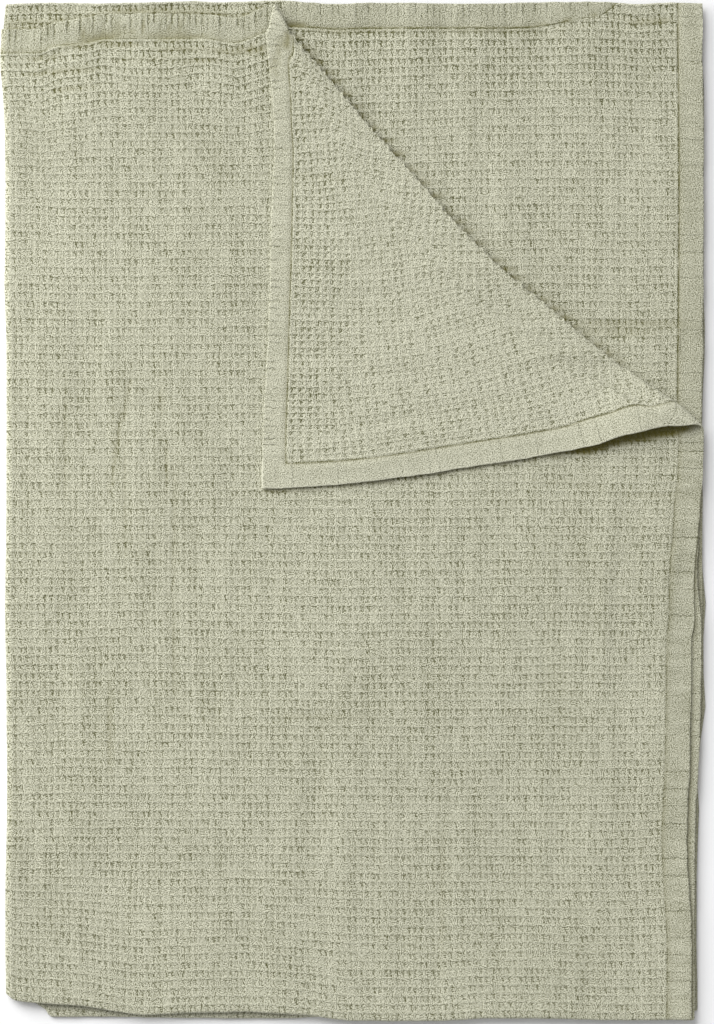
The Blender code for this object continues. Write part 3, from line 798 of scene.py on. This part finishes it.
def cloth_face(reverse, seen, needed):
    """Points, faces and edge loop of one face of the cloth."""
    sheet = flat_sheet(seen, needed)
    for k in range(TURN_STEPS + 1):
        cut_at_turn(sheet, k / TURN_STEPS)
    bmesh.ops.triangulate(sheet, faces=[face for face in sheet.faces if len(face.verts) > 4])
    sheet.verts.index_update()
    woven, (across, up) = flat_places(sheet)
    skin = skin_of(woven[:, 0], woven[:, 1], reverse)
    places, dark = fold(across, up, skin)
    dark = np.maximum(dark, stitched_shade(woven, reverse))
    if not reverse:
        dark = np.maximum(dark, shelter_shade(places))
    faces = [[vert.index for vert in face.verts] for face in sheet.faces]
    edges = []
    for edge in sheet.edges:
        if edge.is_boundary:
            loop = edge.link_loops[0]
            edges.append((loop.vert.index, loop.link_loop_next.vert.index))
    sheet.free()
    return woven, places, dark, faces, edges


def new_piece(name, places, faces, material):
    mesh = bpy.data.meshes.new(name)
    mesh.from_pydata(places.tolist(), [], faces)
    mesh.shade_smooth()
    mesh.materials.append(material)
    piece = bpy.data.objects.new(name, mesh)
    bpy.context.collection.objects.link(piece)
    return piece


def key_of(place):
    """A flat place as a key that is the same on both faces of the cloth."""
    return round(place[0], 6), round(place[1], 6)


def make_cloth(material):
    seen = {reverse: seen_blocks(reverse) for reverse in (False, True)}
    needed = {reverse: needed_points(seen[reverse]) for reverse in (False, True)}
    for edge in (np.s_[0, :], np.s_[-1, :], np.s_[:, 0], np.s_[:, -1]):
        either = needed[False][edge] | needed[True][edge]
        needed[False][edge] = either
        needed[True][edge] = either
    woven, places, dark, faces, edges = cloth_face(False, seen[False], needed[False])
    back_woven, back_places, back_dark, back_faces, back_edges = cloth_face(True, seen[True], needed[True])
    count = len(places)
    faces += [[count + i for i in reversed(face)] for face in back_faces]
    spot = {key_of(back_woven[i]): count + i for edge in back_edges for i in edge}
    for a, b in edges:
        faces.append([b, a, spot[key_of(woven[a])], spot[key_of(woven[b])]])
    places = np.concatenate([places, back_places])
    middle = (places.min(axis=0) + places.max(axis=0)) / 2
    places[:, :2] -= middle[:2]
    cloth = new_piece("waffle_cloth", places, faces, material)
    cloth.data.set_sharp_from_angle(angle=SHARP_ANGLE)
    all_woven = np.concatenate([woven, back_woven])
    inset = np.concatenate([hem_inset(*woven.T, False), hem_inset(*back_woven.T, True)])
    sewn = np.concatenate([np.full(count, 0.5), np.full(len(back_woven), 1.0)])
    across, up = all_woven.T
    turned = (across > 0) & (up > 0) & (turn_share(across - SIDE_ARC, up - BOTTOM_ARC) > 0.5)
    shade = np.concatenate([dark, back_dark])
    for name, values in zip(ATTRIBUTES, (inset, sewn, shade, turned.astype(float))):
        cloth.data.attributes.new(name, "FLOAT", "POINT").data.foreach_set("value", values)
    corners = np.empty(len(cloth.data.loops), int)
    cloth.data.loops.foreach_get("vertex_index", corners)
    weave = cloth.data.uv_layers.new(name="weave")
    weave.data.foreach_set("uv", all_woven[corners].ravel())
    return cloth, middle


# Where a point lies in its waffle cell: shares of the cell, distances from its post and bar, the cell's
# numbers, and two chance values of it
Cells = namedtuple("Cells", "column_part row_part from_post from_bar column_number row_number"
                            " of_cell of_other")


class Shade:
    """A value in a material's nodes, with the sums that the finishes use."""

    def __init__(self, tree, socket):
        self.tree = tree
        self.socket = socket

    @classmethod
    def node(cls, tree, kind, settings=None, inputs=None, output=0):
        node = tree.nodes.new(kind)
        for name, value in (settings or {}).items():
            setattr(node, name, value)
        for name, value in (inputs or {}).items():
            if isinstance(value, Shade):
                tree.links.new(value.socket, node.inputs[name])
            else:
                node.inputs[name].default_value = value
        return cls(tree, node.outputs[output])

    def math(self, operation, *others):
        values = dict(enumerate((self, *others)))
        return Shade.node(self.tree, "ShaderNodeMath", {"operation": operation}, values)

    def __add__(self, other):
        return self.math("ADD", other)

    def __sub__(self, other):
        return self.math("SUBTRACT", other)

    def __rsub__(self, other):
        return Shade.node(self.tree, "ShaderNodeMath", {"operation": "SUBTRACT"}, {0: other, 1: self})

    def __mul__(self, other):
        return self.math("MULTIPLY", other)

    def __truediv__(self, other):
        return self.math("DIVIDE", other)

    __radd__ = __add__
    __rmul__ = __mul__

    def step(self, low, high):
        """0 at low, 1 at high, and smooth between them."""
        settings = {"interpolation_type": "SMOOTHSTEP"}
        inputs = {"Value": self, "From Min": low, "From Max": high}
        return Shade.node(self.tree, "ShaderNodeMapRange", settings, inputs)

    def noise(self, scale, detail=1.0, roughness=0.5, output=0):
        settings = {"noise_dimensions": "2D"}
        inputs = {"Vector": self, "Scale": scale, "Detail": detail, "Roughness": roughness}
        return Shade.node(self.tree, "ShaderNodeTexNoise", settings, inputs, output)

    def chance(self, other):
        """A number from 0 to 1 for each pair of whole numbers."""
        pair = Shade.node(self.tree, "ShaderNodeCombineXYZ", None, {0: self, 1: other})
        return Shade.node(self.tree, "ShaderNodeTexWhiteNoise", {"noise_dimensions": "2D"}, {"Vector": pair})

    def clamped(self):
        """This value, kept from 0 to 1."""
        return self.math("MINIMUM", 1.0).math("MAXIMUM", 0.0)

    def blend(self, colour, other):
        """One colour at 0, the other at 1."""
        settings = {"data_type": "RGBA"}
        return Shade.node(self.tree, "ShaderNodeMix", settings, {0: self, 6: colour, 7: other}, 2)

    def scaled(self, across, up):
        factors = {0: self, 1: (across, up, 1.0)}
        return Shade.node(self.tree, "ShaderNodeVectorMath", {"operation": "MULTIPLY"}, factors)

    def joined(self, third):
        """This place with another value added to both of its parts."""
        other = Shade.node(self.tree, "ShaderNodeCombineXYZ", None, {0: third, 1: third})
        return Shade.node(self.tree, "ShaderNodeVectorMath", {"operation": "ADD"}, {0: self, 1: other})

    def part(self, index):
        return Shade.node(self.tree, "ShaderNodeSeparateXYZ", None, {0: self}, index)


def new_material(name, roughness):
    """A material and its shader."""
    material = bpy.data.materials.new(name)
    material.use_nodes = True
    shader = material.node_tree.nodes["Principled BSDF"]
    shader.inputs["Roughness"].default_value = roughness
    return material, shader


def waffle_cells(across, up, stray):
    """Where a point lies in its waffle cell, and chance values of the cell. The cells stray a little."""
    column = across / CELL_ACROSS + (stray.part(0) - 0.5) * 0.6
    row = up / CELL_ALONG + (stray.part(1) - 0.5) * 0.5
    column_part, row_part = column.math("FRACT"), row.math("FRACT")
    from_post = (column_part - 0.5).math("ABSOLUTE")
    from_bar = (row_part - 0.5).math("ABSOLUTE")
    column_number, row_number = column.math("FLOOR"), row.math("FLOOR")
    of_cell, of_other = column_number.chance(row_number), row_number.chance(column_number)
    return Cells(column_part, row_part, from_post, from_bar, column_number, row_number, of_cell, of_other)


def weave_marks(cells, weave, up, turned):
    """How dark the weave's marks are: a dash of painted shade in each pit, a painted shadow line under its
    bar, and seams of some posts.

    They follow the light, so they are mirrored on the second layer and turned with the corner.
    """
    mirrored = up.step(0.001, -0.001)
    rise = cells.row_part + mirrored * (1 - cells.row_part * 2)
    rise = rise + (1 - cells.column_part - rise) * turned
    side = cells.column_part + (cells.row_part - cells.column_part) * turned
    from_side = (side - 0.5 + (cells.of_other - 0.5) * 0.34 + (rise - 0.5) * 0.26).math("ABSOLUTE")
    dash = from_side.step(*DASH_WIDE) * (rise - 0.5).math("ABSOLUTE").step(*DASH_LONG)
    under_bar = (rise - BAR_PLACE).math("ABSOLUTE").step(*BAR_DEEP) * from_side.step(*BAR_WIDE) * 0.9
    row_run = weave.scaled(26, 0).joined(cells.row_number * 0.73).noise(1.0, 2.0)
    column_run = weave.scaled(0, 16).joined(cells.column_number * 0.73).noise(1.0, 1.0)
    by_end = up.math("ABSOLUTE").step(*END_MARKS)
    strength = 0.66 + (cells.of_cell - 0.5) * 0.9 + (row_run - 0.5) * 1.2 + by_end * 0.42
    seam = cells.from_post.step(*SEAM_WIDE) * column_run.step(0.58, 0.74) * 0.6
    return (dash.math("MAXIMUM", under_bar) * strength.math("MAXIMUM", 0.05)).math("MAXIMUM", seam)


def hem_ribs(cells, weave, inset, on_side):
    """The ribs that gather the hem, across it: one noise for the end hems, one for the side hems."""
    end_ribs = weave.scaled(130, 22).noise(1.0, 1.0) - cells.from_post.step(0.24, 0.04) * cells.of_cell * 1.5
    some_rows = cells.row_number.chance(9.0).step(0.6, 1.0)
    side_ribs = weave.scaled(22, 100).noise(1.0, 1.0) - cells.from_bar.step(0.10, 0.02) * some_rows
    end_ribs = end_ribs - (end_ribs - 0.4) * inset.step(12 * MM, 22 * MM) * 0.65
    return end_ribs + (side_ribs - end_ribs) * on_side - 0.4


def cloth_colour(weave, cells, stray, inset, sewn, shade, turned):
    """The cloth's colour, with its painted light and shade, and the height of its weave for the bump."""
    across, up = weave.part(0), weave.part(1)
    hem = inset.step(HEM_WIDTH + HEM_STEP, HEM_WIDTH)
    marks = weave_marks(cells, weave, up, turned) * (1 - hem)
    on_side = across.math("ABSOLUTE").step(HALF_WIDTH - HEM_WIDTH - HEM_STEP, HALF_WIDTH - HEM_WIDTH)
    ribs = hem_ribs(cells, weave, inset, on_side) * hem

    grain = weave.noise(720, 0.6, 0.8)
    fine_rows, fine_columns = weave.scaled(250, 900).noise(1.0, 0.0), weave.scaled(900, 250).noise(1.0, 0.0)
    yarn = grain * 0.76 + fine_rows * 0.12 + fine_columns * 0.12
    tone = weave.noise(6, 2.0, 0.5)
    # Painted light and shade of the cloth's long ripples, in streaks
    streak = weave.scaled(60, 6).noise(1.0, 1.0)
    light = 0.70 + (yarn - 0.5) * (3.0 - hem * 0.7) + (tone - 0.5) * 0.12 + (streak - 0.5) * 0.20
    # Painted light: the very edge of the flap's lower hem is painted lighter, against the shade of the hem's
    # wall
    painted_light_edge = inset.step(3 * MM, 0.5 * MM) * on_side
    # The ribs paint light and shade on the gathers of the hem, besides their bump
    light = light + ribs * (0.46 - sewn * 0.29) + turned * (0.05 + painted_light_edge * 0.32)
    # Painted shade in the crevice along the hem's inner fold
    from_seam = inset - HEM_WIDTH - 0.2 * MM + (stray.part(0) - 0.5) * 2.4 * MM
    crevice = from_seam.math("ABSOLUTE").step(1.3 * MM, 0.3 * MM)
    crevice = crevice * weave.noise(55, 1.0).step(0.25, 0.6) * sewn
    # The shade attribute's painted shade deepens the marks and blends towards the shade colour; below 0 it
    # is painted light
    light = light - marks * (shade + 0.44).math("MAXIMUM", 0.1)
    light = light - hem * (0.125 - turned * 0.075) - crevice * 0.6
    light = light - shade.math("MINIMUM", 0.0)
    colour = light.clamped().blend(PIT_OLIVE, LIGHT_SAGE)
    deep = shade * (0.95 + (yarn - 0.5) * 2.5)
    colour = deep.clamped().blend(colour, SHADE_OLIVE)

    bars = cells.from_bar.step(0.28, 0.46)
    posts = cells.from_post.step(0.24, 0.44) * 0.6
    height = bars.math("MAXIMUM", posts) * (1 - hem) * 0.4 + yarn * 1.3 + ribs * 0.5
    return colour, height


def cloth_material():
    material, shader = new_material("washed_cotton", 0.95)
    tree = material.node_tree
    shader.inputs["Sheen Weight"].default_value = 0.15
    shader.inputs["Sheen Roughness"].default_value = 0.6
    shader.inputs["Specular IOR Level"].default_value = 0.2
    weave = Shade.node(tree, "ShaderNodeUVMap", {"uv_map": "weave"})
    inset, sewn, shade, turned = [
        Shade.node(tree, "ShaderNodeAttribute", {"attribute_name": name}, None, 2) for name in ATTRIBUTES
    ]
    stray = weave.noise(170, 2.0, 0.6, 1)
    cells = waffle_cells(weave.part(0), weave.part(1), stray)
    colour, height = cloth_colour(weave, cells, stray, inset, sewn, shade, turned)
    tree.links.new(colour.socket, shader.inputs["Base Color"])
    bump = Shade.node(tree, "ShaderNodeBump", None, {"Strength": 1.0, "Distance": 0.001, "Height": height})
    tree.links.new(bump.socket, shader.inputs["Normal"])
    return material


def thread_material():
    material, shader = new_material("hem_thread", 0.8)
    tree = material.node_tree
    place = Shade.node(tree, "ShaderNodeTexCoord", None, None, 3)
    # The twist of the thread is spotted with the painted shade colour
    twist = place.noise(1500, 1.0)
    colour = twist.blend(THREAD_SAGE, SHADE_OLIVE)
    tree.links.new(colour.socket, shader.inputs["Base Color"])
    return material


def one_stitch():
    """A stitch along X at the origin: a short thread that dips into the cloth at both ends."""
    bpy.ops.object.select_all(action="DESELECT")
    bpy.ops.mesh.primitive_cylinder_add(vertices=6, radius=THREAD / 2, depth=STITCH_LENGTH,
                                        rotation=(0, math.pi / 2, 0))
    stitch = bpy.context.object
    bpy.ops.object.transform_apply(location=True, rotation=True, scale=True)
    bpy.ops.object.mode_set(mode="EDIT")
    for share in STITCH_CUTS:
        bpy.ops.mesh.select_all(action="SELECT")
        bpy.ops.mesh.bisect(plane_co=(share * STITCH_LENGTH, 0, 0), plane_no=(1, 0, 0))
    bpy.ops.object.mode_set(mode="OBJECT")
    for vert in stitch.data.vertices:
        vert.select = abs(vert.co.x) > STITCH_TIP * STITCH_LENGTH
    bpy.ops.object.mode_set(mode="EDIT")
    bpy.ops.transform.resize(value=(1, TIP_THICKNESS, TIP_THICKNESS))
    bpy.ops.transform.translate(value=(0, 0, -TIP_DIP))
    bpy.ops.object.mode_set(mode="OBJECT")
    verts = np.array([vert.co[:] for vert in stitch.data.vertices])
    faces = [list(face.vertices) for face in stitch.data.polygons]
    bpy.data.objects.remove(stitch)
    return verts, faces


def hem_seams():
    """Places of the stitches that show, in the flat cloth, and which run along its length."""
    across = np.arange(SIDE_ARC, HALF_WIDTH - STITCH_LINE, STITCH_PITCH)
    up = np.arange(BOTTOM_ARC, HALF_LENGTH - STITCH_LINE, STITCH_PITCH)
    side, end = HALF_WIDTH - STITCH_LINE, HALF_LENGTH - STITCH_LINE
    rolled = along(SECOND_HEM_ROLLED, across - SIDE_ARC)
    runs = [
        (across, np.full(across.shape, end), False),
        (np.full(up.shape, side), up, True),
        (across, -end - rolled, False),
        (np.full(up.shape, side), -up, True),
    ]
    places = []
    for run_across, run_up, lengthways in runs:
        x, y = run_across - SIDE_ARC, np.abs(run_up) - BOTTOM_ARC
        down, out = to_crease(x, y)
        flap = (run_up > 0) & (turn_share(x, y) > 1.1)
        beyond = out > along(CREASE_BOW, down)
        second = (run_up < 0) & beyond & (np.abs(run_up) < HALF_LENGTH - SEAM_FROM_EDGE)
        keep = flap | second
        places += [(a, u, lengthways) for a, u in zip(run_across[keep], run_up[keep])]
    return places


def make_stitches(material, middle):
    stitch, stitch_faces = one_stitch()
    seams = hem_seams()
    length, side, height = stitch.T
    across = np.concatenate([a + (side if lengthways else length) for a, u, lengthways in seams])
    up = np.concatenate([u + (length if lengthways else side) for a, u, lengthways in seams])
    rise = np.tile(height + STITCH_RISE, len(seams))
    skin = skin_of(across, up, True) - rise
    places = fold(*weave_place(across, up), skin)[0]
    places[:, :2] -= middle[:2]
    faces = [[i + k * len(stitch) for i in face] for k in range(len(seams)) for face in stitch_faces]
    stitches = new_piece("hem_stitches", places, faces, material)
    bpy.context.view_layer.objects.active = stitches
    stitches.select_set(True)
    bpy.ops.object.mode_set(mode="EDIT")
    bpy.ops.mesh.select_all(action="SELECT")
    bpy.ops.mesh.normals_make_consistent(inside=False)
    bpy.ops.object.mode_set(mode="OBJECT")
    return stitches


def make_floor():
    bpy.ops.mesh.primitive_plane_add(size=FLOOR_SIZE, location=(0, 0, -FLOOR_DROP))
    floor = bpy.context.object
    floor.name = "floor"
    material, shader = new_material("white_floor", 0.9)
    shader.inputs["Base Color"].default_value = FLOOR_WHITE
    floor.data.materials.append(material)


def add_light(kind, place, falls, energy):
    bpy.ops.object.light_add(type=kind, location=place)
    light = bpy.context.object
    light.data.energy = energy
    light.rotation_euler = Vector(falls).to_track_quat("-Z", "Y").to_euler()
    return light.data


def make_light():
    world = bpy.data.worlds.new("soft_room")
    world.use_nodes = True
    backdrop = world.node_tree.nodes["Background"]
    backdrop.inputs["Color"].default_value = (1.0, 1.0, 1.0, 1.0)
    backdrop.inputs["Strength"].default_value = ROOM_LIGHT
    bpy.context.scene.world = world
    key = add_light("SUN", (-2, 2, 3), KEY_FALLS, KEY_ENERGY)
    key.angle = KEY_ANGLE
    side = add_light("AREA", SIDE_LIGHT_PLACE, -Vector(SIDE_LIGHT_PLACE), SIDE_LIGHT_ENERGY)
    side.shape = "DISK"
    side.size = SIDE_LIGHT_SIZE


def make_camera(middle):
    height = FRAME_HEIGHT * LENS / SENSOR + MID_HEIGHT
    place = (FRAME_MIDDLE[0] - middle[0], FRAME_MIDDLE[1] - middle[1], height)
    bpy.ops.object.camera_add(location=place, rotation=(0, 0, 0))
    camera = bpy.context.object
    camera.data.lens = LENS
    camera.data.sensor_width = SENSOR
    camera.data.sensor_fit = "AUTO"
    bpy.context.scene.camera = camera


def dress_bedspread():
    cloth, middle = make_cloth(cloth_material())
    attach(cloth, "root")
    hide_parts("bedspread")
    stitches = make_stitches(thread_material(), middle)
    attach(stitches, "root")
    return middle


bpy.ops.object.select_all(action="DESELECT")
MIDDLE = dress_bedspread()
make_floor()
make_light()
make_camera(MIDDLE)
bpy.context.scene.view_settings.view_transform = "Standard"
